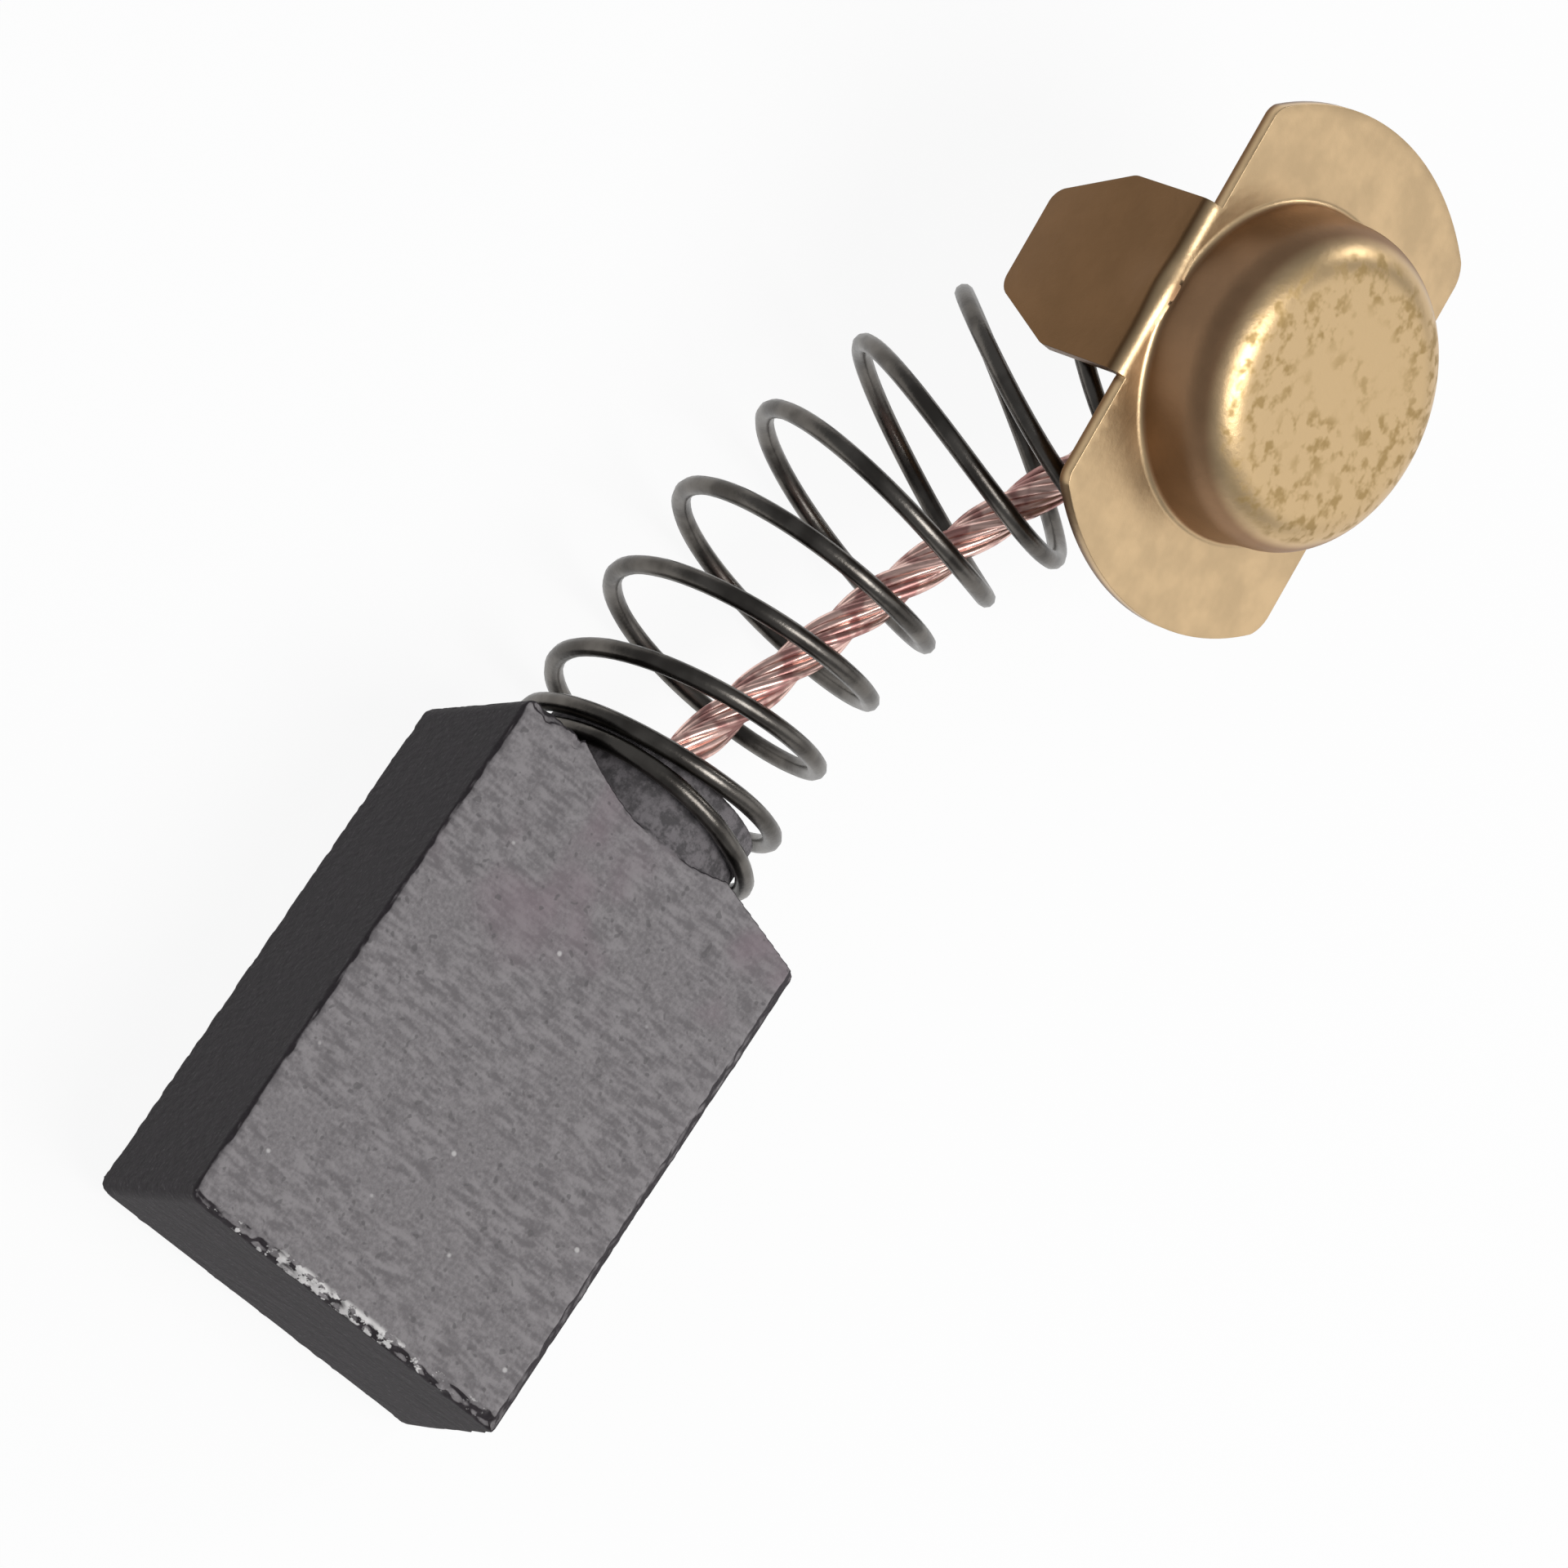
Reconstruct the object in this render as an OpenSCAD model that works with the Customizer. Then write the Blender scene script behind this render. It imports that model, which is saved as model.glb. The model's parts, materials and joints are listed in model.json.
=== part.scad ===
// Carbon motor brush: a carbon block with a turned spring boss, a coil spring, a braided
// copper pigtail tamped into the carbon, and a stamped brass terminal cap with two folded tabs.
//
// Millimetres. +X runs from the contact face to the spring, +Z is up out of the block's
// large upper face, and the origin is the centre of the contact face.

/* [Carbon block] */
// Length from the contact face to the shoulders
block_length = 16.6; // [12:0.1:24]
// Width of the large faces
block_width = 11; // [9.6:0.1:14]
// Thickness between the large faces
block_thickness = 7; // [6:0.1:9]
// Draft on the -Y side, which makes the lower face wider than the upper
side_draft = 0.6; // [0.1:0.1:1]
// Radius on the block's four end corners
corner_radius = 0.4; // [0.2:0.1:1]
// Bevel worn on the -Y shoulder, along the block
shoulder_wear_length = 1.4; // [0.2:0.1:2]
// Bevel worn on the -Y shoulder, across the block
shoulder_wear_width = 5.5; // [0.5:0.1:5.5]

/* [Spring seat] */
// Diameter of the boss that the spring is pushed onto
boss_diameter = 6.8; // [5:0.1:7]
// Height of the boss above the shoulders
boss_height = 1.3; // [0.8:0.1:3]
// Depth of the coned relief turned round the foot of the boss
relief_depth = 0.98; // [0.3:0.02:1.2]
// Diameter of the relief at the shoulders
relief_diameter = 9.9; // [9:0.1:10.6]
// Height of the spring's foot above the floor of the relief
foot_height = 0.58; // [0.4:0.02:1.5]

/* [Pigtail] */
// Diameter over the twisted copper bundles
pigtail_diameter = 1.3; // [1:0.05:1.6]
// Diameter of the tamping hole in the carbon
tamping_diameter = 2.4; // [2.2:0.1:3]
// Depth of the tamping hole below the top of the boss
tamping_depth = 6.5; // [5:0.1:9]
// Depth of the pigtail's end in the tamping hole
pigtail_depth = 5.5; // [4:0.1:6]
// Bundles twisted together
bundles = 4; // [3:1:6]
// Turns of twist along the whole pigtail
pigtail_twists = 7; // [4:0.5:9]

/* [Spring] */
// Diameter of the spring wire
wire_diameter = 0.55; // [0.4:0.05:0.65]
// Clearance between the boss and the inside of the spring
boss_clearance = 0.17; // [0.15:0.01:0.4]
// Growth of the coil radius from the boss to the cap
coil_growth = 0.12; // [0:0.02:0.16]
// Closed turns on the boss
closed_turns = 1.55; // [1:0.05:2]
// Pitch of the closed turns
closed_pitch = 0.89; // [0.7:0.01:1]
// Active turns
active_turns = 8.3; // [7:0.05:9]
// Lean of the turns towards -Y where they leave the seat
seat_lean = 0.25; // [0:0.01:0.3]
// Angle at which the wire starts, round the boss
start_angle = 231; // [0:1:360]

/* [Terminal cap] */
// Thickness of the brass sheet
sheet = 0.4; // [0.3:0.05:0.45]
// Diameter of the flange over its two lobes
flange_diameter = 15.25; // [14:0.05:18]
// Distance across the flange's flats
flange_flats = 9.5; // [9.4:0.05:9.8]
// Outer diameter of the dome at its foot
dome_diameter = 9.7; // [9.6:0.05:10]
// Height of the dome above the flange
dome_height = 2.7; // [2.4:0.1:3.6]
// Radius of the dome's shoulder
dome_round = 1.4; // [1.2:0.1:2]
// Fillet at the dome's foot
foot_fillet = 0.35; // [0.2:0.05:0.45]
// Width of each folded tab
tab_width = 5.4; // [4.6:0.1:6]
// Length of each tab below the top of the flange
tab_length = 5.6; // [4.5:0.1:6]
// Distance over the outsides of the tabs
tab_spacing = 10.6; // [10.4:0.1:11.2]
// Bevel at each tab's end, across the tab
tab_bevel_width = 1.15; // [0.5:0.05:1.8]
// Bevel at each tab's end, along the tab
tab_bevel_length = 2.5; // [1:0.1:3.2]

/* [Resting place of the cap] */
// Reach of the cap's centre past the block's shoulders
cap_reach = 19.2; // [18.5:0.1:21]
// Distance of the cap's centre to the side of the block's axis
cap_side = 5.25; // [4.5:0.05:6]
// Height of the cap's centre above the block's axis
cap_lift = 8.65; // [8:0.05:9.5]
// Turn of the cap about X, lifting the outer tab
cap_roll = 22; // [18:1:26]
// Turn of the cap about Y, lifting the outer lobe
cap_pitch = -9.2; // [-12:0.2:-6]
// Turn of the cap about Z
cap_yaw = 7.8; // [4:0.2:12]

/* [Hidden] */
eps = 0.01;
$fn = 48;

carbon_colour = "#5b585c";
compound_colour = "#3a3634";
copper_colour = "#c4806a";
steel_colour = "#6d6b66";
brass_colour = "#cbb27f";
solder_colour = "#a9a7a0";

// The block's drafted side at the lower face
drafted_side = -block_width / 2 - side_draft;

// Spring seat
relief_floor = block_length - relief_depth;
boss_top = block_length + boss_height;
seat_coil_radius = boss_diameter / 2 + boss_clearance + wire_diameter / 2;

// Dome of the cap, in the cap's own frame: the top of the flange is its Z = 0
dome_radius = dome_diameter / 2;
dome_taper = 0.1;
crown_radius = dome_radius - dome_taper - dome_round;
crown_inside = dome_height - sheet;
foot_radius = dome_radius + foot_fillet;
rim_round = 0.12;

// Places in the cap's own frame
solder_diameter = 3.2;
solder_height = 0.9;
solder_floor = crown_inside - solder_height;
spring_end_drop = 0.3;
spring_end_lean = 30;
lead_gap = 0.2;

// The rotation of the cap as three columns, and a point of the cap in the part's frame
cap_centre = [block_length + cap_reach, -cap_side, cap_lift];
function turn_x(p, a) = [p.x, p.y * cos(a) - p.z * sin(a), p.y * sin(a) + p.z * cos(a)];
function turn_y(p, a) = [p.x * cos(a) + p.z * sin(a), p.y, -p.x * sin(a) + p.z * cos(a)];
function turn_z(p, a) = [p.x * cos(a) - p.y * sin(a), p.x * sin(a) + p.y * cos(a), p.z];
function cap_direction(p) = turn_z(turn_y(turn_x(p, cap_roll), cap_pitch), cap_yaw);
function cap_point(p) = cap_centre + cap_direction(p);

// Bezier curve through control points, and its direction
function mix(points, t) =
    len(points) == 1 ? points[0]
    : mix([for (i = [0:len(points) - 2]) points[i] * (1 - t) + points[i + 1] * t], t);
function unit(v) = v / norm(v);
function heading(points, t) = unit(mix([for (i = [0:len(points) - 2]) points[i + 1] - points[i]], t));

// Centreline of the spring: out of the seat, then bent up into the dome
spring_start = [relief_floor + foot_height + wire_diameter / 2, 0, 0];
spring_end = cap_point([0, 0, -spring_end_drop]);
spring_end_heading = cap_direction([sin(spring_end_lean), 0, cos(spring_end_lean)]);
spring_line = [spring_start,
               spring_start + [0.245 * cap_reach, 0.57, -0.1],
               spring_end + [-3.3, 6.1, -8.6],
               spring_end - 3.6 * spring_end_heading,
               spring_end];

// Centreline of the pigtail: straight out of the boss, then through the spring to the dome
pigtail_start = [boss_top - pigtail_depth, 0, 0];
pigtail_exit = [boss_top, 0, 0];
pigtail_end = cap_point([0, 0, solder_floor - lead_gap]);
pigtail_line = [pigtail_exit,
                pigtail_exit + [0.1174 * cap_reach, -0.4, 0.05],
                pigtail_end + [-2.7, 1.3, -10.35],
                pigtail_end - cap_direction([0.5, 0, 2.5]),
                pigtail_end];

// Distance run along a curve against its parameter, for evenly spaced turns
function run_table(points, steps) =
    [for (i = 0, run = 0; i <= steps;
          run = run + norm(mix(points, (i + 1) / steps) - mix(points, i / steps)), i = i + 1)
     [run, i / steps]];
line_steps = 60;
spring_runs = run_table(spring_line, line_steps);
spring_length = spring_runs[line_steps][0];
pigtail_runs = run_table(pigtail_line, line_steps);
pigtail_free_length = pigtail_runs[line_steps][0];

// Distance of each turn along the spring: closed turns, a quick opening, then even turns
opening = 0.5;
free_run = spring_length - closed_turns * closed_pitch;
function opened(t) = t < opening ? t * t / (2 * opening) : t - opening / 2;
opened_pitch = (free_run - closed_pitch * active_turns) / opened(active_turns);
function turn_run(t) = min(spring_length,
    closed_pitch * t + (t > closed_turns ? opened_pitch * opened(t - closed_turns) : 0));

// The way a turn faces: along the centreline, leaning where it leaves the seat and,
// a little the other way, near the cap
lean_table = [[0, 0], [0.03, 0.95], [0.07, 0.05], [0.3, -0.25], [0.5, -0.2], [0.7, -0.65], [1, 0]];
function facing(u) = unit(heading(spring_line, u) - [0, seat_lean * lookup(u, lean_table), 0]);

// A ring of points round a curve's point, square to its direction
function upright(direction) = unit(cross(direction, [0, 1, 0]));
function round_point(centre, direction, radius, angle) =
    let (up = upright(direction), side = cross(up, direction))
    centre + radius * (cos(angle) * side + sin(angle) * up);

// A closed tube from rings of points, each ring with the same count
module tube(rings) {
    sides = len(rings[0]);
    count = len(rings);
    points = [for (ring = rings) for (p = ring) p];
    walls = [for (i = [0:count - 2]) for (j = [0:sides - 1])
             let (k = (j + 1) % sides, a = i * sides, b = (i + 1) * sides)
             each [[a + j, b + k, a + k], [a + j, b + j, b + k]]];
    ends = [[for (j = [0:sides - 1]) j],
            [for (j = [sides - 1:-1:0]) (count - 1) * sides + j]];
    polyhedron(points = points, faces = concat(walls, ends), convexity = 10);
}

// Puts a shape from the cap's own frame into its resting place
module in_cap() {
    translate(cap_centre) rotate([cap_roll, cap_pitch, cap_yaw]) children();
}

// Puts a shape made along +Z on the block's axis, with its Z = 0 at a distance along X
module on_axis(x) {
    translate([x, 0, 0]) rotate([0, 90, 0]) children();
}

// Plan of the block at its widest, with round corners
module block_outline() {
    inner_length = block_length - 2 * corner_radius;
    inner_width = block_width + side_draft - 2 * corner_radius;
    low = drafted_side + corner_radius;
    translate([0, low]) square([block_length, inner_width]);
    translate([corner_radius, drafted_side]) square([inner_length, block_width + side_draft]);
    for (x = [corner_radius, block_length - corner_radius], y = [low, low + inner_width])
        translate([x, y]) circle(corner_radius);
}

// Section across the block, with its +Y side upright and its -Y side drafted
module block_section() {
    w = block_width / 2;
    t = block_thickness / 2;
    polygon([[w, t], [-w, t], [drafted_side, -t], [w, -t]]);
}

module shoulder_wear() {
    inner_end = shoulder_wear_width - block_width / 2;
    outside = drafted_side - eps;
    slope = shoulder_wear_length / shoulder_wear_width;
    polygon([[block_length + eps, inner_end], [block_length + eps, outside],
             [block_length - slope * (inner_end - outside), outside]]);
}

module carbon_block() {
    color(carbon_colour)
    difference() {
        union() {
            difference() {
                intersection() {
                    translate([0, 0, -block_thickness / 2])
                        linear_extrude(block_thickness) difference() {
                            block_outline();
                            shoulder_wear();
                        }
                    rotate([90, 0, 90]) linear_extrude(block_length) block_section();
                }
                // Turned relief, whose cone breaks out through the large faces
                on_axis(relief_floor)
                    cylinder(h = relief_depth + eps, d1 = boss_diameter, d2 = relief_diameter);
            }
            on_axis(relief_floor - eps)
                cylinder(h = boss_height + relief_depth + eps, d = boss_diameter);
        }
        on_axis(boss_top - tamping_depth) cylinder(h = tamping_depth + eps, d = tamping_diameter);
    }
}

module tamping_compound() {
    color(compound_colour)
    difference() {
        on_axis(boss_top - tamping_depth) cylinder(h = tamping_depth, d = tamping_diameter);
        on_axis(pigtail_start.x) cylinder(h = pigtail_depth + eps, d = pigtail_diameter);
    }
}

// Radius of the twisted bundles at an angle round the pigtail
function bundle_radius(angle) =
    pigtail_diameter / 2 * (0.8 + 0.2 * abs(cos(angle * bundles / 2)));

module copper_pigtail() {
    sides = 4 * bundles;
    root_steps = 6;
    free_steps = 46;
    whole = pigtail_depth + pigtail_free_length;
    stations = concat(
        [for (i = [0:root_steps - 1]) [i / root_steps * pigtail_depth, pigtail_start
            + [i / root_steps * pigtail_depth, 0, 0], [1, 0, 0]]],
        [for (i = [0:free_steps])
            let (run = i / free_steps * pigtail_free_length, t = lookup(run, pigtail_runs))
            [pigtail_depth + run, mix(pigtail_line, t), heading(pigtail_line, t)]]);
    color(copper_colour)
    tube([for (s = stations) [for (j = [0:sides - 1])
        round_point(s[1], s[2], bundle_radius(j * 360 / sides),
                    j * 360 / sides + s[0] / whole * pigtail_twists * 360)]]);
}

module compression_spring() {
    turns = closed_turns + active_turns;
    steps_per_turn = 18;
    steps = ceil(turns * steps_per_turn);
    sides = 8;
    function wire_centre(t) =
        let (u = lookup(turn_run(t), spring_runs),
             radius = seat_coil_radius + coil_growth * min(1, u * 2))
        round_point(mix(spring_line, u), facing(u), radius, start_angle + 360 * t);
    color(steel_colour)
    tube([for (i = [0:steps])
        let (t = i / steps * turns, before = max(0, t - 0.01), after = min(turns, t + 0.01),
             along = unit(wire_centre(after) - wire_centre(before)),
             u = lookup(turn_run(t), spring_runs),
             out = unit(wire_centre(t) - mix(spring_line, u)), up = cross(along, out))
        [for (j = [0:sides - 1]) let (a = j * 360 / sides)
         wire_centre(t) + wire_diameter / 2 * (cos(a) * out + sin(a) * up)]]);
}

// Outline of the blank: a disc with two flats, and a strip for the tabs
module blank() {
    intersection() {
        circle(d = flange_diameter);
        union() {
            square([flange_diameter, flange_flats], center = true);
            square([tab_width, tab_spacing], center = true);
        }
    }
}

function arc(centre, radius, from, to, steps) =
    [for (i = [0:steps]) let (a = from + (to - from) * i / steps)
     centre + radius * [cos(a), sin(a)]];

// Half section of the dome and flange, solid to the axis, at a depth below the outer face
module cap_section(depth) {
    polygon(concat(
        [[0, -sheet - eps]],
        depth > 0 ? [] : arc([flange_diameter / 2 - rim_round, -rim_round], rim_round, 0, 90, 3),
        arc([foot_radius, foot_fillet], foot_fillet + depth, 270, 180, 6),
        arc([crown_radius, dome_height - dome_round], dome_round - depth, 0, 90, 8),
        [[0, dome_height - depth]]));
}

module tab() {
    half = tab_width / 2;
    linear_extrude(sheet) polygon([
        [-half, 0], [-half, tab_length - tab_bevel_length],
        [-half + tab_bevel_width, tab_length], [half - tab_bevel_width, tab_length],
        [half, tab_length - tab_bevel_length], [half, 0]]);
}

module terminal_cap() {
    color(brass_colour)
    in_cap() {
        difference() {
            intersection() {
                translate([0, 0, -sheet]) linear_extrude(dome_height + sheet) blank();
                rotate_extrude() cap_section(0);
            }
            rotate_extrude() cap_section(sheet);
        }
        for (side = [0, 180]) rotate([0, 0, side])
            translate([0, tab_spacing / 2, 0]) rotate([0, 0, 180]) rotate([-90, 0, 0]) tab();
    }
}

module solder_joint() {
    color(solder_colour)
    in_cap() translate([0, 0, solder_floor])
        cylinder(h = solder_height, d1 = solder_diameter - 2 * solder_height, d2 = solder_diameter);
}

carbon_block();
tamping_compound();
copper_pigtail();
compression_spring();
terminal_cap();
solder_joint();
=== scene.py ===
import json
import math
import bmesh
import bpy
from mathutils import Euler, Matrix, Vector, noise


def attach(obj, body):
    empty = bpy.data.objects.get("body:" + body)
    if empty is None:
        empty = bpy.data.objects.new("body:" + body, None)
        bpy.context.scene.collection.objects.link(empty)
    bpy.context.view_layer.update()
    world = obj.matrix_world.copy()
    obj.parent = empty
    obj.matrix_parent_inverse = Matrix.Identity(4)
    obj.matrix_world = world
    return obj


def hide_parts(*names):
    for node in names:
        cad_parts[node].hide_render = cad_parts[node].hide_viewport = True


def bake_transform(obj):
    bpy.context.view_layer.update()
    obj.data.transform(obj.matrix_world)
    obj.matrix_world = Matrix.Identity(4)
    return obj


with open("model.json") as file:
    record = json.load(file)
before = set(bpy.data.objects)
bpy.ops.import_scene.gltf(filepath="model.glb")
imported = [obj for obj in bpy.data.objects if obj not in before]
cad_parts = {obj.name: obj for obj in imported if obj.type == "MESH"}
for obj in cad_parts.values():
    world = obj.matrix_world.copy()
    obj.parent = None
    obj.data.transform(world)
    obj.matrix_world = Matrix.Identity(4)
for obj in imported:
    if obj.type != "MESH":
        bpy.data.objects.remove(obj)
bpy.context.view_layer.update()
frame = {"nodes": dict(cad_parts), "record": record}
mm = 0.001
scene = bpy.context.scene
mounts = {mount["name"]: mount for mount in frame["record"]["mounts"]}
print("frame loaded:", ", ".join(sorted(frame["nodes"])))

# Every piece is made in millimetres and brought to metres at the end.
merge = 0.001  # points of a new piece nearer than this become one
near = 0.002  # as good as in the same place
onPlane = 0.0001  # a point this near to a cutting plane counts as on it


class Socket:
    def __init__(self, tree, socket=None):
        self.tree = tree
        self.socket = socket

    def node(self, kind, inputs=None, output=0, **settings):  # a tuple of outputs gives a list
        new = self.tree.nodes.new(kind)
        for name, value in settings.items():
            setattr(new, name, value)
        for key, value in (inputs or {}).items():
            if isinstance(value, Socket):
                self.tree.links.new(value.socket, new.inputs[key])
            else:
                new.inputs[key].default_value = value
        if isinstance(output, tuple):
            return [Socket(self.tree, new.outputs[name]) for name in output]
        return Socket(self.tree, new.outputs[output])

    def maths(self, operation, *values):
        return self.node("ShaderNodeMath", dict(enumerate(values)), operation=operation)

    def __add__(self, other):
        return self.maths("ADD", self, other)

    def __radd__(self, other):
        return self.maths("ADD", other, self)

    def __sub__(self, other):
        return self.maths("SUBTRACT", self, other)

    def __rsub__(self, other):
        return self.maths("SUBTRACT", other, self)

    def __mul__(self, other):
        return self.maths("MULTIPLY", self, other)

    def __rmul__(self, other):
        return self.maths("MULTIPLY", other, self)

    def __pow__(self, other):
        return self.maths("POWER", self, other)

    def __abs__(self):
        return self.maths("ABSOLUTE", self)

    def step(self, low, high):  # 0 below low, 1 above high, smooth between
        return self.node("ShaderNodeMapRange", {0: self, 1: low, 2: high}, interpolation_type="SMOOTHSTEP")

    def parts(self):
        return self.node("ShaderNodeSeparateXYZ", {0: self}, ("X", "Y", "Z"))

    def placed(self, location=(0, 0, 0), rotation=(0, 0, 0), scale=(1, 1, 1), kind="POINT"):
        turn = [math.radians(a) for a in rotation]
        return self.node("ShaderNodeMapping", {"Vector": self, "Location": location, "Rotation": turn,
                                               "Scale": scale}, vector_type=kind)

    def grain(self, scale, detail=3.0, rough=0.55):
        return self.node("ShaderNodeTexNoise", {"Vector": self, "Scale": scale, "Detail": detail,
                                                "Roughness": rough})

    def blend(self, first, second):  # a colour from first to second as this goes from 0 to 1
        def four(c):
            return c if isinstance(c, Socket) else (*c, 1)
        return self.node("ShaderNodeMix", {0: self, 6: four(first), 7: four(second)}, output=2,
                         data_type="RGBA")


def shaded(colour, share):
    return [c * share for c in colour]


def material(name, recipe, **fixed):  # the recipe is given the place on the piece, in millimetres
    made = bpy.data.materials.new(name)
    made.use_nodes = True
    tree = made.node_tree
    shader = tree.nodes["Principled BSDF"]
    for key, value in fixed.items():
        shader.inputs[key].default_value = value
    place = Socket(tree).node("ShaderNodeTexCoord", output="Object")
    where = place.node("ShaderNodeVectorMath", {0: place, "Scale": 1 / mm}, operation="SCALE")
    for key, value in recipe(where).items():
        if key == "bump":
            height, depth = value
            value = where.node("ShaderNodeBump", {"Height": height, "Distance": depth * mm,
                                                  "Strength": 1.0})
            key = "Normal"
        tree.links.new(value.socket, shader.inputs[key])
    print("material:", name)
    return made


def piece(name, bm, finish):
    bmesh.ops.scale(bm, vec=(mm, mm, mm), verts=bm.verts)
    mesh = bpy.data.meshes.new(name)
    bm.to_mesh(mesh)
    bm.free()
    for face in mesh.polygons:
        face.use_smooth = True
    made = bpy.data.objects.new(name, mesh)
    scene.collection.objects.link(made)
    mesh.materials.append(finish)
    print("piece:", name, len(mesh.polygons), "faces")
    return made


def finished(name, source):  # the mesh of an object after its modifiers, and the object removed
    evaluated = source.evaluated_get(bpy.context.evaluated_depsgraph_get())
    mesh = bpy.data.meshes.new_from_object(evaluated)
    mesh.name = name
    bpy.data.objects.remove(source)
    return mesh


# The block has pressed sides darkened with painted shade, ground upper and under faces and a turned boss
# inside the spring.

block = {
    "length": 16.6,
    "halfWidth": 5.5,
    "halfThickness": 3.5,
    "crispHalf": 3.5,  # the shoulders' edges aren't worn this near to the middle
    "voxel": 0.09,
    "ragged": [(1.1, 0.7), (3.1, 0.6), (7.3, 0.3)],  # each noise's scale and strength
    "worn": {  # by the signs of X, Y and Z that an edge lies at: its worn width and how ragged it is
        (-1, 0, 1): (0.27, 0.24),
        (-1, 0, -1): (0.16, 0.1),
        (-1, 1, 0): (0.16, 0.12),
        (1, 0, 1): (0.34, 0.26),
        (1, 1, 0): (0.24, 0.2),
        (1, 0, -1): (0.16, 0.1),
        (0, 1, 1): (0.13, 0.09),
        (0, -1, 1): (0.34, 0.08),
        (0, 1, -1): (0.14, 0.1),
    },
}

carbonLook = {
    "ground": (0.262, 0.244, 0.248),
    "groundDark": (0.148, 0.136, 0.14),
    "mauve": (0.215, 0.165, 0.185),
    "pressedShade": (0.0185, 0.013, 0.0168),
    "boss": (0.175, 0.16, 0.167),
    # painted highlight colour, for the specks and for the glints along the contact face's upper edge
    "glint": (0.78, 0.755, 0.74),
    "rippleTurn": (0, 0, -6),
    "rippleScale": (4.4, 1.35, 2),
    "patchScale": 0.42,
    "fineScale": 8.0,
    "mauveScale": 0.3,
    "speckScale": 1.3,
    "pitScale": 3.4,
    "mottleScale": 2.6,
    "glintScale": 3.2,
    "mauveFrom": (9, 13),  # along X
    "bossFrom": (15.55, 15.65),  # along X
    "bossRim": (3.45, 3.52),  # out from the X axis
    "groundSlope": (0.68, 0.86),  # how flat a face lies where the painted shade of the pressed sides turns to ground; chamfers get that painted shade too
    "glintEdge": (0.26, 0.42),  # in from the upper edge of the contact face
    "glintFrom": (-2.5, -0.6),  # along Y
    "glintTo": (2.2, 3.4),
    "roughness": 0.78,
    "bump": 0.055,
}


def carbonRecipe(where):
    look = carbonLook
    x, y, z = where.parts()
    facing = where.node("ShaderNodeNewGeometry", output="Normal").parts()[2]
    ripples = where.placed(rotation=look["rippleTurn"], scale=look["rippleScale"]).grain(1.0, 1.5, 0.5)
    patches = where.grain(look["patchScale"], 2, 0.5).step(0.3, 0.48)
    fine = where.grain(look["fineScale"], 3, 0.6)
    rippled = ripples * patches + 0.5 * (1 - patches)
    tone = (rippled * 0.62 + fine * 0.38).step(0.36, 0.64)
    face = tone.blend(look["groundDark"], look["ground"])
    reddish = where.grain(look["mauveScale"], 2, 0.5).step(0.5, 0.7) * x.step(*look["mauveFrom"]) * 0.7
    face = reddish.blend(face, look["mauve"])
    # painted highlights: sparse bright specks in the glint colour
    farness, draw = where.node("ShaderNodeTexVoronoi", {"Vector": where, "Scale": look["speckScale"]},
                               ("Distance", "Color"))
    specks = (1 - farness.step(0.05, 0.13)) * draw.parts()[0].step(0.8, 0.83)
    face = (specks * 0.5).blend(face, look["glint"])
    pits = where.grain(look["pitScale"], 1, 0.5).step(0.66, 0.72) * 0.6
    face = pits.blend(face, shaded(look["ground"], 0.35))
    dark = (fine * 0.6 + ripples * 0.4).step(0.3, 0.75)
    # painted shade: sides, ends and chamfers get a near-black colour, darker than the pressed finish itself
    side = dark.blend(shaded(look["pressedShade"], 0.7), shaded(look["pressedShade"], 1.4))
    colour = abs(facing).step(*look["groundSlope"]).blend(side, face)
    fromAxis = (y * y + z * z) ** 0.5
    boss = x.step(*look["bossFrom"]) * (1 - fromAxis.step(*look["bossRim"]))
    mottle = where.grain(look["mottleScale"], 3, 0.7).step(0.38, 0.62)
    colour = boss.blend(colour, mottle.blend(shaded(look["boss"], 0.42), look["boss"]))
    # painted highlight: bright glints along the worn upper edge of the contact face
    edge = (1 - (x + (block["halfThickness"] - z)).step(*look["glintEdge"])) * facing.step(0.25, 0.5)
    struck = y.step(*look["glintFrom"]) * (1 - y.step(*look["glintTo"])) * 0.16
    bright = where.placed(scale=(1.5, 1, 1)).grain(look["glintScale"], 3, 0.6) + struck
    colour = (edge * bright.step(0.6, 0.68) * 0.9).blend(colour, look["glint"])
    rough = look["roughness"] - fine.step(0.55, 0.8) * 0.25
    return {"Base Color": colour, "Roughness": rough, "bump": (rippled * 0.9 + fine * 0.35, look["bump"])}


def wear(point):  # where a point of the sharp block lies once its edges are worn
    rag = sum(noise.noise(point * scale) * strength for scale, strength in block["ragged"])
    moved = point.copy()
    for (x, y, z), (width, raggedness) in block["worn"].items():
        if x > 0 and abs(point.y) < block["crispHalf"]:
            continue
        edge = Vector((block["length"] if x > 0 else 0, y * block["halfWidth"], z * block["halfThickness"]))
        inward = Vector((-x, -y, -z))
        depth = (point - edge).dot(inward)
        worn = width + raggedness * rag
        if depth < worn:
            moved += inward * (worn - depth) / 2
    return moved


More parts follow.
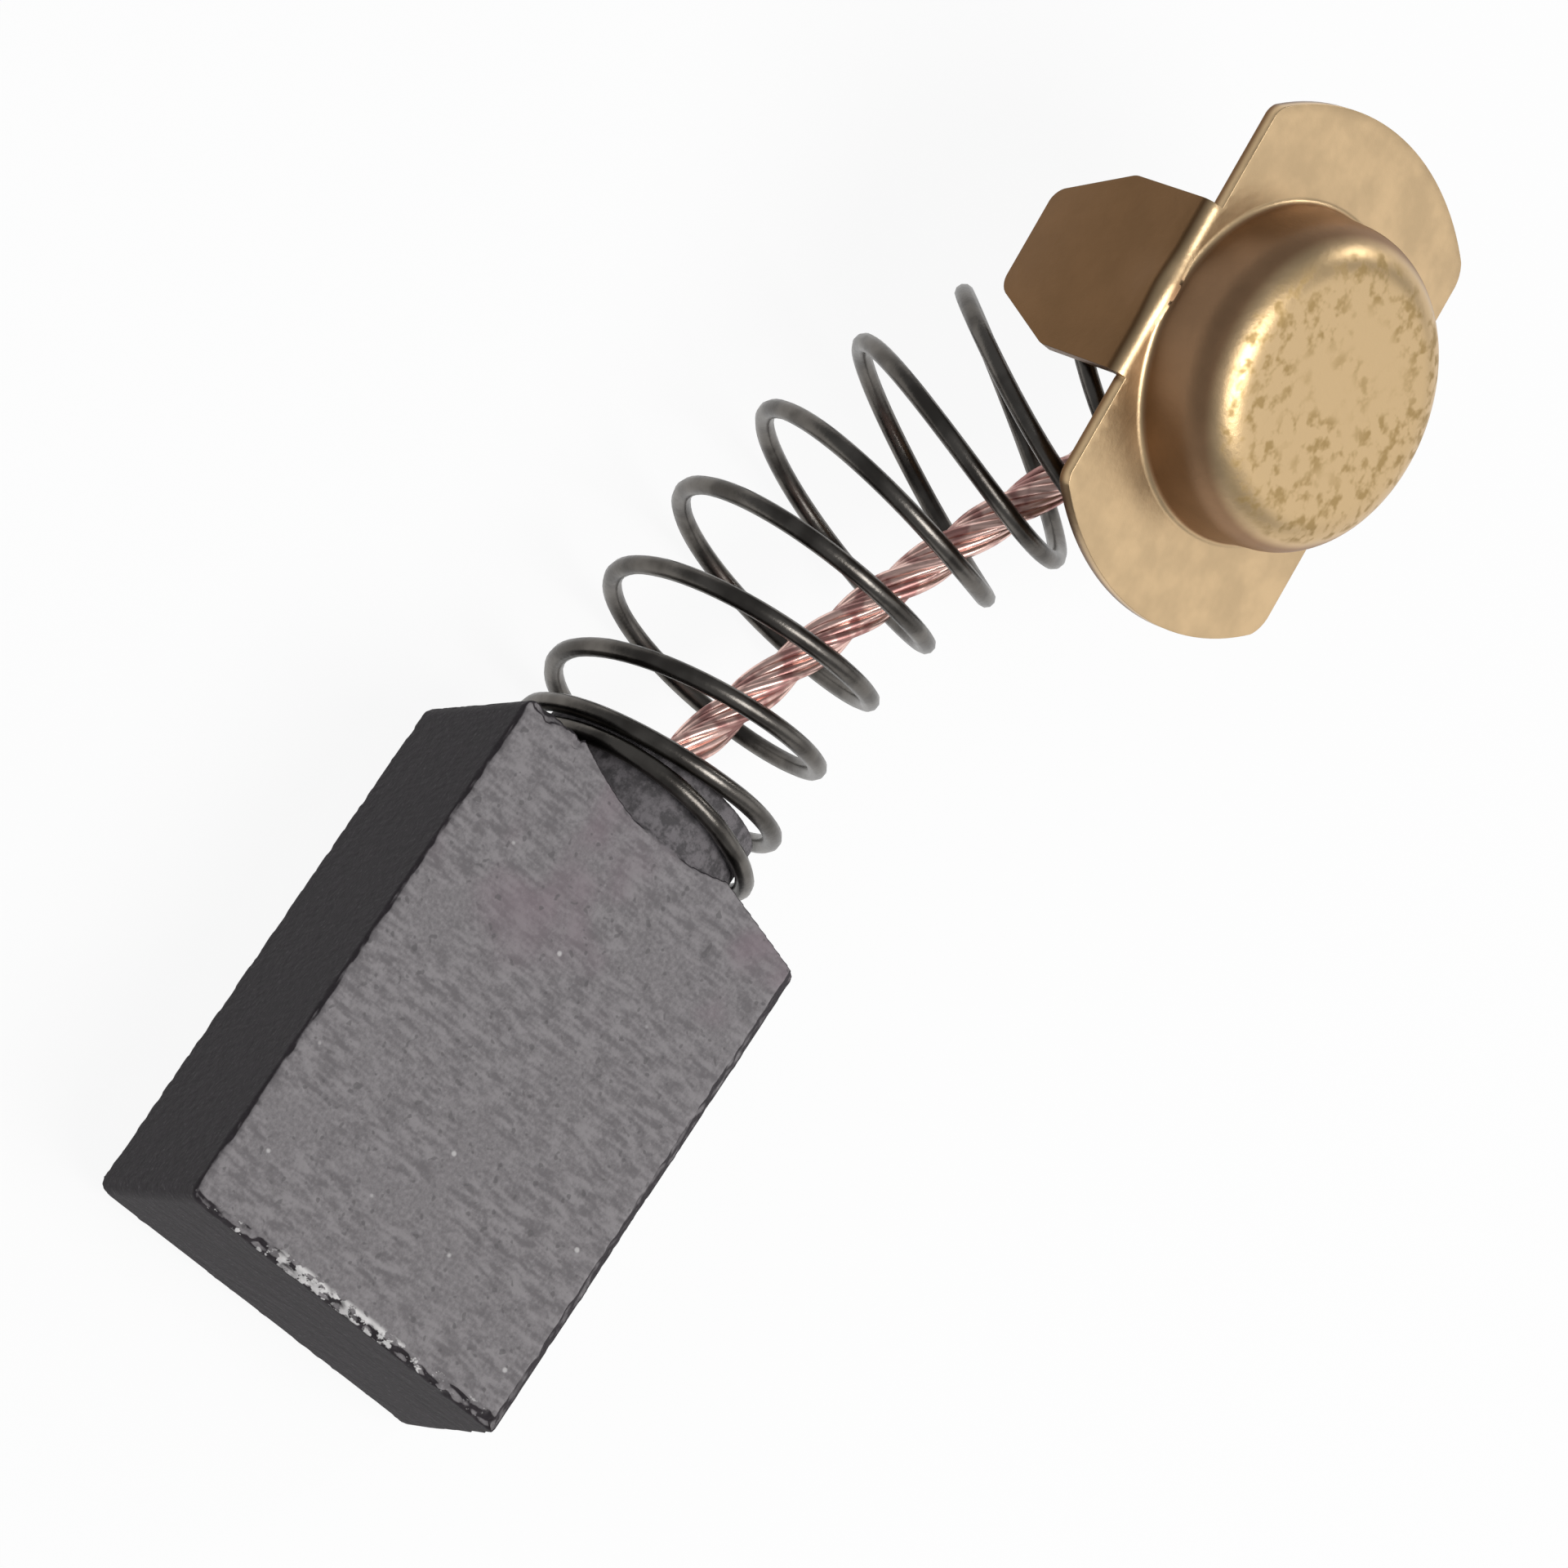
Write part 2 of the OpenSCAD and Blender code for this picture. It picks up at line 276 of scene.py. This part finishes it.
def makeBlock():
    source = bmesh.new()
    source.from_mesh(frame["nodes"]["carbon_block"].data)
    bmesh.ops.remove_doubles(source, verts=source.verts, dist=near * mm)
    bmesh.ops.scale(source, vec=(1 / mm, 1 / mm, 1 / mm), verts=source.verts)
    mesh = bpy.data.meshes.new("blockDraft")
    source.to_mesh(mesh)
    source.free()
    draft = bpy.data.objects.new("blockDraft", mesh)
    scene.collection.objects.link(draft)
    remesh = draft.modifiers.new("voxels", "REMESH")
    remesh.mode = "VOXEL"
    remesh.voxel_size = block["voxel"]
    bm = bmesh.new()
    bm.from_mesh(finished("blockVoxels", draft))
    for vertex in bm.verts:
        vertex.co = wear(vertex.co)
    made = piece("carbonBody", bm, carbon)
    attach(made, "brush")
    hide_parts("carbon_block")


compoundLook = {
    "dark": (0.02, 0.017, 0.016),
    "light": (0.09, 0.075, 0.07),
    "crumbScale": 6.0,
    "roughness": 0.9,
    "bump": 0.08,
}


def compoundRecipe(where):
    look = compoundLook
    crumbs = where.grain(look["crumbScale"], 4, 0.7)
    return {"Base Color": crumbs.step(0.4, 0.65).blend(look["dark"], look["light"]),
            "bump": (crumbs, look["bump"])}


# The cap is turned about its dome's axis, cut to two flats, and folded down into a tab at each.

cap = {
    "centre": Vector(mounts["terminal_tabs"]["pos_m"]) / mm,
    "turn": (22, -9.2, 7.8),
    "reach": 19.2,  # from the block's shoulders, along X
    "sheet": 0.4,
    "flangeRadius": 7.625,
    "flatHalf": 4.85,
    "wallRadius": 4.82,
    "taper": 0.1,
    "height": 2.7,
    "shoulder": 1.4,
    "footFillet": 0.22,
    "slices": 144,
    "crownRows": 4,
    "shoulderSteps": 14,
    "filletSteps": 8,
    "flangeRows": 8,
    "rimHeight": 0.6,  # the flange at the flats is below this
    "rimFrom": 4,  # and further out than this
    "lobeRound": (0.6, 1.1),  # at the +Y flat and at the -Y flat
    "tabHalf": 2.7,
    "tabLength": 5.6,
    "tabBevel": (1.15, 2.5),  # across and along
    "tabBend": 0.45,
    "bendSteps": 7,
    "tabRows": (0.9, 2.0),
    "tipRound": 0.6,
    "roundCuts": 5,
    "edgeRound": 0.09,
    "edgeSegments": 3,
    "edgeAngle": 50,
}
capRotation = Euler([math.radians(a) for a in cap["turn"]], "XYZ").to_matrix()
capPlace = Matrix.Translation(cap["centre"]) @ capRotation.to_4x4()

brassLook = {
    "flange": (0.725, 0.52, 0.298),
    "crown": (0.66, 0.47, 0.255),
    "spots": (0.4, 0.27, 0.11),
    # painted shade: the wall and tab colours are dark browns that stand in for the dark reflections on the
    # dome's wall and on the folded tabs and their bends
    "wall": (0.37, 0.217, 0.119),
    "tab": (0.205, 0.113, 0.052),
    "cloudScale": 0.55,
    "fineScale": 5.0,
    "wornScale": 0.6,
    "spotScale": 2.3,
    "ringFrom": (2.2, 3.0),  # out from the dome's axis, where most of the crown's spots are
    "ringTo": (3.8, 4.2),
    "crownFrom": (2.3, 2.5),  # up from the flange
    "wallFrom": (0.03, 0.12),
    "wallTo": (2.05, 2.42),
    "wallRim": (5.1, 5.2),  # out from the dome's axis
    "tabTo": (-0.34, -0.1),
    "roughness": 0.32,
    "bump": 0.012,
}


def brassRecipe(where):
    look = brassLook
    own = where.placed(tuple(cap["centre"]), cap["turn"], kind="TEXTURE")
    x, y, z = own.parts()
    fromAxis = (x * x + y * y) ** 0.5
    clouds = own.grain(look["cloudScale"], 3, 0.6)
    fine = own.grain(look["fineScale"], 3, 0.6)
    colour = clouds.step(0.35, 0.7).blend(shaded(look["flange"], 0.82), look["flange"])
    ring = fromAxis.step(*look["ringFrom"]) * (1 - fromAxis.step(*look["ringTo"]))
    worn = own.grain(look["wornScale"], 2, 0.5).step(0.38, 0.58) + ring * 0.7
    spots = own.grain(look["spotScale"], 2, 0.55).step(0.46, 0.66) * worn.maths("MINIMUM", worn, 1.0)
    crown = z.step(*look["crownFrom"])
    colour = crown.blend(colour, (spots * 0.85).blend(look["crown"], look["spots"]))
    shade = clouds.step(0.3, 0.75)
    # painted shade: the dome's wall, and below it the tabs from the start of their bends, take the dark
    # browns
    wall = z.step(*look["wallFrom"]) * (1 - z.step(*look["wallTo"])) * (1 - fromAxis.step(*look["wallRim"]))
    colour = (wall * 0.95).blend(colour, shade.blend(shaded(look["wall"], 0.85), look["wall"]))
    tab = 1 - z.step(*look["tabTo"])
    colour = tab.blend(colour, shade.blend(shaded(look["tab"], 0.85), look["tab"]))
    rough = look["roughness"] + clouds * 0.1 + spots * crown * 0.18 + wall * 0.14
    return {"Base Color": colour, "Roughness": rough, "bump": (fine * 0.5 + clouds * 0.4, look["bump"])}


def capPoint(x, y, z):
    return capPlace @ Vector((x, y, z))


def arc(x, z, radius, start, end, steps):  # in the XZ plane, from one angle to another in degrees
    angles = [math.radians(start + (end - start) * i / steps) for i in range(steps + 1)]
    return [Vector((x + radius * math.cos(a), 0, z + radius * math.sin(a))) for a in angles]


def capProfile():  # from the crown's middle, over the shoulder and down the wall, to the flange's rim
    shoulder = cap["shoulder"]
    fillet = cap["footFillet"]
    crownEdge = cap["wallRadius"] - cap["taper"] - shoulder
    foot = cap["wallRadius"] + fillet
    crown = [Vector((crownEdge * i / cap["crownRows"], 0, cap["height"])) for i in range(cap["crownRows"])]
    top = arc(crownEdge, cap["height"] - shoulder, shoulder, 90, 0, cap["shoulderSteps"])
    bottom = arc(foot, fillet, fillet, 180, 270, cap["filletSteps"])
    flange = [Vector((foot + (cap["flangeRadius"] - foot) * i / cap["flangeRows"], 0, 0))
              for i in range(1, cap["flangeRows"] + 1)]
    return crown + top + bottom + flange


def whole(faces):  # the faces with their edges and corners
    edges = dict.fromkeys(e for f in faces for e in f.edges)
    corners = dict.fromkeys(v for f in faces for v in f.verts)
    return [*faces, *edges, *corners]


def cut(bm, faces, point, normal, away=False):
    bmesh.ops.bisect_plane(bm, geom=whole(faces), dist=onPlane, plane_co=point, plane_no=normal,
                           clear_outer=away)


def roundCorner(bm, corner, first, second, radius, onlyHere=lambda face: True):
    # cuts along the tangents of the arc that fits between the two edges, whose outward ways are given
    centre = corner - radius * (first + second) / (1 + first.dot(second))
    for i in range(1, cap["roundCuts"] + 1):
        outward = first.slerp(second, i / (cap["roundCuts"] + 1))
        cut(bm, [f for f in bm.faces if onlyHere(f)], centre + radius * outward, outward, away=True)


def foldTab(bm, side):
    flat, half, bend, length = cap["flatHalf"], cap["tabHalf"], cap["tabBend"], cap["tabLength"]
    root = [e for e in bm.edges if e.is_boundary
            and all(abs(v.co.y - side * flat) < near and abs(v.co.x) < half + near for v in e.verts)]
    corners = list(dict.fromkeys(v for e in root for v in e.verts))
    bent = bmesh.ops.spin(bm, geom=corners + root, cent=(0, side * flat, -bend), axis=(-side, 0, 0),
                          angle=math.pi / 2, steps=cap["bendSteps"])["geom_last"]
    edge = [e for e in bent if isinstance(e, bmesh.types.BMEdge)]
    bevelWidth, bevelLength = cap["tabBevel"]
    straight = length - bevelLength
    rows = [(depth, half) for depth in (*cap["tabRows"], straight)] + [(length, half - bevelWidth)]
    width = half
    for depth, newWidth in rows:
        grown = bmesh.ops.extrude_edge_only(bm, edges=edge)["geom"]
        edge = [e for e in grown if isinstance(e, bmesh.types.BMEdge)]
        for v in {v for e in edge for v in e.verts}:
            v.co = Vector((v.co.x * newWidth / width, side * (flat + bend), -depth))
        width = newWidth

    def onTab(face):
        return face.calc_center_median().y * side > flat + bend - near

    slant = Vector((bevelLength, 0, -bevelWidth)).normalized()
    down = Vector((0, 0, -1))
    for hand in (1, -1):
        outward = Vector((hand, 0, 0))
        along = Vector((hand * slant.x, 0, slant.z))
        for x, z, first, second in ((half, -straight, outward, along), (width, -length, along, down)):
            corner = Vector((hand * x, side * (flat + bend), z))
            roundCorner(bm, corner, first, second, cap["tipRound"], onTab)


def makeCap():
    bm = bmesh.new()
    points = [bm.verts.new(p) for p in capProfile()]
    lines = [bm.edges.new(pair) for pair in zip(points, points[1:])]
    bmesh.ops.spin(bm, geom=points + lines, cent=(0, 0, 0), axis=(0, 0, 1), angle=2 * math.pi,
                   steps=cap["slices"], use_merge=True)
    bmesh.ops.remove_doubles(bm, verts=bm.verts, dist=merge)
    for side in (1, -1):
        cut(bm, bm.faces[:], (0, side * cap["flatHalf"], 0), (0, side, 0), away=True)
    for side, rounding in zip((1, -1), cap["lobeRound"]):
        for hand in (1, -1):
            x = hand * math.sqrt(cap["flangeRadius"] ** 2 - cap["flatHalf"] ** 2)
            corner = Vector((x, side * cap["flatHalf"], 0))
            roundCorner(bm, corner, Vector((0, side, 0)), corner.normalized(), rounding)
    for side in (1, -1):  # an edge for each side of the tabs
        middles = [(f, f.calc_center_median()) for f in bm.faces]
        rim = [f for f, middle in middles if middle.z < cap["rimHeight"] and abs(middle.y) > cap["rimFrom"]]
        cut(bm, rim, (side * cap["tabHalf"], 0, 0), (1, 0, 0))
    for side in (1, -1):
        foldTab(bm, side)
    bmesh.ops.recalc_face_normals(bm, faces=bm.faces)
    crown = max(bm.faces, key=lambda f: f.calc_center_median().z)
    if crown.normal.z < 0:
        bmesh.ops.reverse_faces(bm, faces=bm.faces)
    bmesh.ops.transform(bm, matrix=capPlace, verts=bm.verts)
    made = piece("brassCap", bm, brass)
    wall = made.modifiers.new("sheet", "SOLIDIFY")
    wall.thickness = cap["sheet"] * mm
    wall.offset = -1
    wall.use_even_offset = False
    soft = made.modifiers.new("edges", "BEVEL")
    soft.width = cap["edgeRound"] * mm
    soft.segments = cap["edgeSegments"]
    soft.limit_method = "ANGLE"
    soft.angle_limit = math.radians(cap["edgeAngle"])
    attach(made, "cap")
    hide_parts("terminal_cap")


solderLook = {
    "dark": (0.28, 0.27, 0.25),
    "light": (0.5, 0.49, 0.47),
    "grainScale": 2.0,
    "roughness": 0.45,
    "bump": 0.06,
}


def solderRecipe(where):
    look = solderLook
    dull = where.grain(look["grainScale"], 3, 0.6)
    return {"Base Color": dull.step(0.3, 0.7).blend(look["dark"], look["light"]),
            "bump": (dull, look["bump"])}


# The spring and the lead follow curves that bend from the block to the tilted cap.

spring = {
    "foot": 16.2,
    "wire": 0.55,
    "roundness": 3,
    "seatRadius": 3.845,
    "growth": 0.12,
    "grownAt": 0.5,  # as a share of the curve
    "closedTurns": 1.55,
    "closedPitch": 0.89,
    "activeTurns": 8.3,
    "startAngle": 231,
    "opening": 0.5,  # turns in which the pitch grows from closed to open
    "endDrop": 0.3,
    "endLean": 30,
    "endStraight": 3.6,
    "lean": 0.25,  # how far the turns lean over sideways, times the table's value at each place
    "leanTable": [(0, 0), (0.03, 0.95), (0.07, 0.05), (0.3, -0.25), (0.5, -0.2), (0.7, -0.65), (1, 0)],
    "pointsPerTurn": 64,
}

steelLook = {
    "dark": (0.075, 0.068, 0.061),
    "light": (0.15, 0.138, 0.124),
    "drawnScale": 9.0,
    "tintScale": 0.9,
    "roughness": 0.24,
    "bump": 0.006,
}


def steelRecipe(where):
    look = steelLook
    drawn = where.grain(look["drawnScale"], 3, 0.6)
    tint = where.grain(look["tintScale"], 2, 0.5)
    return {"Base Color": tint.step(0.35, 0.65).blend(look["dark"], look["light"]),
            "Roughness": look["roughness"] + drawn * 0.14, "bump": (drawn, look["bump"])}


def bezier(points, t):
    while len(points) > 1:
        points = [a.lerp(b, t) for a, b in zip(points, points[1:])]
    return points[0]


def heading(points, t):
    return bezier([b - a for a, b in zip(points, points[1:])], t).normalized()


def table(rows, t):  # the value at t, straight between the rows
    for (t0, v0), (t1, v1) in zip(rows, rows[1:]):
        if t <= t1:
            return v0 + (v1 - v0) * (t - t0) / (t1 - t0)
    return rows[-1][1]


def runTable(points, steps=60):  # rows of the length run along a curve and its parameter there
    rows = [(0, 0)]
    run = 0
    last = bezier(points, 0)
    for i in range(1, steps + 1):
        here = bezier(points, i / steps)
        run += (here - last).length
        rows.append((run, i / steps))
        last = here
    return rows


def roundPoint(centre, direction, radius, angle):
    up = direction.cross(Vector((0, 1, 0))).normalized()
    side = up.cross(direction)
    return centre + radius * (math.cos(angle) * side + math.sin(angle) * up)


endLean = math.radians(spring["endLean"])
springEndHeading = capRotation @ Vector((math.sin(endLean), 0, math.cos(endLean)))
springStart = Vector((spring["foot"] + spring["wire"] / 2, 0, 0))
springEnd = capPoint(0, 0, -spring["endDrop"])
springLine = [springStart,
              springStart + Vector((0.245 * cap["reach"], 0.57, -0.1)),
              springEnd + Vector((-3.3, 6.1, -8.6)),
              springEnd - spring["endStraight"] * springEndHeading,
              springEnd]


def coilPoints():
    runs = runTable(springLine)
    length = runs[-1][0]
    closed, pitch, active = spring["closedTurns"], spring["closedPitch"], spring["activeTurns"]

    def opened(t):
        return t * t / (2 * spring["opening"]) if t < spring["opening"] else t - spring["opening"] / 2

    extra = (length - closed * pitch - pitch * active) / opened(active)
    turns = closed + active
    count = int(turns * spring["pointsPerTurn"])
    points = []
    for i in range(count + 1):
        t = turns * i / count
        run = pitch * t
        if t > closed:
            run += extra * opened(t - closed)
        u = table(runs, min(run, length))
        sideways = Vector((0, spring["lean"] * table(spring["leanTable"], u), 0))
        face = (heading(springLine, u) - sideways).normalized()
        radius = spring["seatRadius"] + spring["growth"] * min(1, u / spring["grownAt"])
        angle = math.radians(spring["startAngle"] + 360 * t)
        points.append(roundPoint(bezier(springLine, u), face, radius, angle))
    return points


def wires(name, routes, radius, roundness):  # round wires along routes, as one bmesh
    curve = bpy.data.curves.new(name, "CURVE")
    curve.dimensions = "3D"
    curve.bevel_depth = radius
    curve.bevel_resolution = roundness
    curve.use_fill_caps = True
    for route in routes:
        spline = curve.splines.new("POLY")
        spline.points.add(len(route) - 1)
        for knot, point in zip(spline.points, route):
            knot.co = (*point, 1)
    draft = bpy.data.objects.new(name, curve)
    scene.collection.objects.link(draft)
    bm = bmesh.new()
    bm.from_mesh(finished(name, draft))
    bmesh.ops.remove_doubles(bm, verts=bm.verts, dist=merge)
    bmesh.ops.recalc_face_normals(bm, faces=bm.faces)
    return bm


def acrossJoint(made):  # puts the piece's placing into its points
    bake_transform(made)


def makeSpring():
    bm = wires("coil", [coilPoints()], spring["wire"] / 2, spring["roundness"])
    made = piece("coilSpring", bm, steel)
    acrossJoint(made)
    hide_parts("compression_spring")


pigtail = {
    "exit": (17.9, 0, 0),
    "rootDepth": 5.5,
    "endHeight": 1.2,
    "bundles": 4,
    "strands": 4,
    "bundleOffset": 0.33,
    "strandOffset": 0.155,
    "strandRadius": 0.145,
    "coreRadius": 0.12,
    "roundness": 1,
    "twists": 3.5,
    "strandTwists": 3.5,
    "stray": 0.16,
    "strayScale": (34, 3.7, 5.3),  # along the lead, from bundle to bundle and from strand to strand
    "stations": 150,
}
pigtailExit = Vector(pigtail["exit"])
pigtailEnd = capPoint(0, 0, pigtail["endHeight"])
pigtailLine = [pigtailExit,
               pigtailExit + Vector((0.1174 * cap["reach"], -0.4, 0.05)),
               pigtailEnd + Vector((-2.7, 1.3, -10.35)),
               pigtailEnd - capRotation @ Vector((0.5, 0, 2.5)),
               pigtailEnd]

copperLook = {
    "clean": (0.97, 0.66, 0.58),
    "paintedShade": (0.3, 0.09, 0.09),
    "shadeBlotchScale": 1.3,
    "roughness": 0.3,
}


def copperRecipe(where):
    look = copperLook
    # painted shade: random dark maroon blotches stand in for the shaded side of the lead and the gaps
    # between its strands
    shadeBlotch = where.grain(look["shadeBlotchScale"], 2, 0.5).step(0.46, 0.62)
    return {"Base Color": (shadeBlotch * 0.7).blend(look["clean"], look["paintedShade"]),
            "Roughness": look["roughness"] + shadeBlotch * 0.14}


def pigtailStations():  # shares of the lead's length with the middle and the heading there
    runs = runTable(pigtailLine)
    root = pigtail["rootDepth"]
    length = root + runs[-1][0]
    stations = []
    for i in range(pigtail["stations"] + 1):
        share = i / pigtail["stations"]
        run = length * i / pigtail["stations"] - root
        if run < 0:
            stations.append((share, pigtailExit + Vector((run, 0, 0)), Vector((1, 0, 0))))
        else:
            u = table(runs, run)
            stations.append((share, bezier(pigtailLine, u), heading(pigtailLine, u)))
    return stations


def makePigtail():
    stations = pigtailStations()
    alongScale, bundleScale, strandScale = pigtail["strayScale"]
    strands = []
    cores = []
    for k in range(pigtail["bundles"]):
        core = []
        for share, centre, along in stations:
            angle = 2 * math.pi * (k / pigtail["bundles"] + share * pigtail["twists"])
            core.append(roundPoint(centre, along, pigtail["bundleOffset"], angle))
        cores.append(core)
        for j in range(pigtail["strands"]):
            route = []
            for (share, centre, along), middle in zip(stations, core):
                angle = 2 * math.pi * (j / pigtail["strands"] + share * pigtail["strandTwists"])
                wander = noise.noise(Vector((share * alongScale, k * bundleScale, j * strandScale)))
                offset = pigtail["strandOffset"] * (1 + pigtail["stray"] * wander)
                route.append(roundPoint(middle, along, offset, angle))
            strands.append(route)
    bm = wires("strands", strands, pigtail["strandRadius"], pigtail["roundness"])
    inner = wires("cores", cores, pigtail["coreRadius"], pigtail["roundness"])
    draft = bpy.data.meshes.new("cores")
    inner.to_mesh(draft)
    inner.free()
    bm.from_mesh(draft)
    made = piece("copperLead", bm, copper)
    acrossJoint(made)
    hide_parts("copper_pigtail")


carbon = material("carbon", carbonRecipe)
compound = material("tampedPowder", compoundRecipe, Roughness=compoundLook["roughness"])
steel = material("springSteel", steelRecipe, Metallic=1.0)
copper = material("copperStrand", copperRecipe, Metallic=0.95)
brass = material("stampedBrass", brassRecipe, Metallic=1.0)
solder = material("dullSolder", solderRecipe, Metallic=0.9, Roughness=solderLook["roughness"])

makeBlock()
makeSpring()
makePigtail()
makeCap()
for node, finish in (("tamping_compound", compound), ("solder_joint", solder)):
    slots = frame["nodes"][node].data.materials
    slots.clear()
    slots.append(finish)


# Floor, lamps and camera. The floor looks white to the camera and in the metal, and keeps the shadow.

floor = {
    "touches": (15.3, -5.5, -3.51),
    "up": (-0.006, 0.102, 0.995),
    "half": 400,
    "colour": (0.93, 0.93, 0.93),
    "roughness": 0.9,
    "glow": 0.92,
}


def makeFloor():
    bm = bmesh.new()
    bmesh.ops.create_grid(bm, x_segments=1, y_segments=1, size=floor["half"])
    turn = Vector((0, 0, 1)).rotation_difference(Vector(floor["up"]))
    place = Matrix.Translation(Vector(floor["touches"])) @ turn.to_matrix().to_4x4()
    bmesh.ops.transform(bm, matrix=place, verts=bm.verts)
    bmesh.ops.scale(bm, vec=(mm, mm, mm), verts=bm.verts)
    mesh = bpy.data.meshes.new("floor")
    bm.to_mesh(mesh)
    bm.free()
    made = bpy.data.objects.new("floor", mesh)
    scene.collection.objects.link(made)
    paint = bpy.data.materials.new("paleFloor")
    paint.use_nodes = True
    tree = paint.node_tree
    shader = tree.nodes["Principled BSDF"]
    shader.inputs["Base Color"].default_value = (*floor["colour"], 1)
    shader.inputs["Roughness"].default_value = floor["roughness"]
    seen, mirrored, through = Socket(tree).node("ShaderNodeLightPath", output=(
        "Is Camera Ray", "Is Glossy Ray", "Is Transmission Ray"))
    seen = seen.maths("MAXIMUM", seen, mirrored)
    seen = seen.maths("MAXIMUM", seen, through)
    glow = seen.node("ShaderNodeEmission", {"Color": (1, 1, 1, 1), "Strength": 1.0})
    mixed = seen.node("ShaderNodeMixShader", {0: seen * floor["glow"], 1: Socket(tree, shader.outputs[0]),
                                              2: glow})
    tree.links.new(mixed.socket, tree.nodes["Material Output"].inputs["Surface"])
    mesh.materials.append(paint)


lamps = {
    "overhead": {"towards": (-0.1, -0.35, 0.93), "size": 0.22, "power": 1.0},
    "window": {"towards": (0.2, -0.9, 0.42), "size": 0.3, "power": 0.155},
    "corner": {"towards": (0.83, -0.38, 0.41), "size": 0.07, "power": 0.16},
}
lampAim = Vector((20, -2, 2)) * mm
lampDistance = 0.4


def makeLamp(name, towards, size, power):
    light = bpy.data.lights.new(name, "AREA")
    light.shape = "DISK"
    light.size = size
    light.energy = power
    made = bpy.data.objects.new(name, light)
    way = Vector(towards).normalized()
    made.location = lampAim + way * lampDistance
    made.rotation_euler = way.to_track_quat("Z", "Y").to_euler()
    scene.collection.objects.link(made)


def makeWorld(colour, strength):
    world = bpy.data.worlds.new("studio")
    world.use_nodes = True
    background = world.node_tree.nodes["Background"]
    background.inputs["Color"].default_value = (*colour, 1)
    background.inputs["Strength"].default_value = strength
    scene.world = world


view = {
    "eye": (-33.05, 60.18, 164.99),
    "turn": (1.612, -26.657, -53.527),
    "lens": 150.88,
    "sensor": 36,
    "nearest": 0.01,
}


def makeCamera():
    camera = bpy.data.cameras.new("camera")
    camera.lens = view["lens"]
    camera.sensor_width = view["sensor"]
    camera.clip_start = view["nearest"]
    made = bpy.data.objects.new("camera", camera)
    made.location = Vector(view["eye"]) * mm
    made.rotation_euler = [math.radians(a) for a in view["turn"]]
    scene.collection.objects.link(made)
    scene.camera = made


makeFloor()
for lampName, lamp in lamps.items():
    makeLamp(lampName, **lamp)
makeWorld(colour=(0.8, 0.82, 0.85), strength=0.35)
scene.view_settings.view_transform = "Standard"
makeCamera()
print("stage ready")
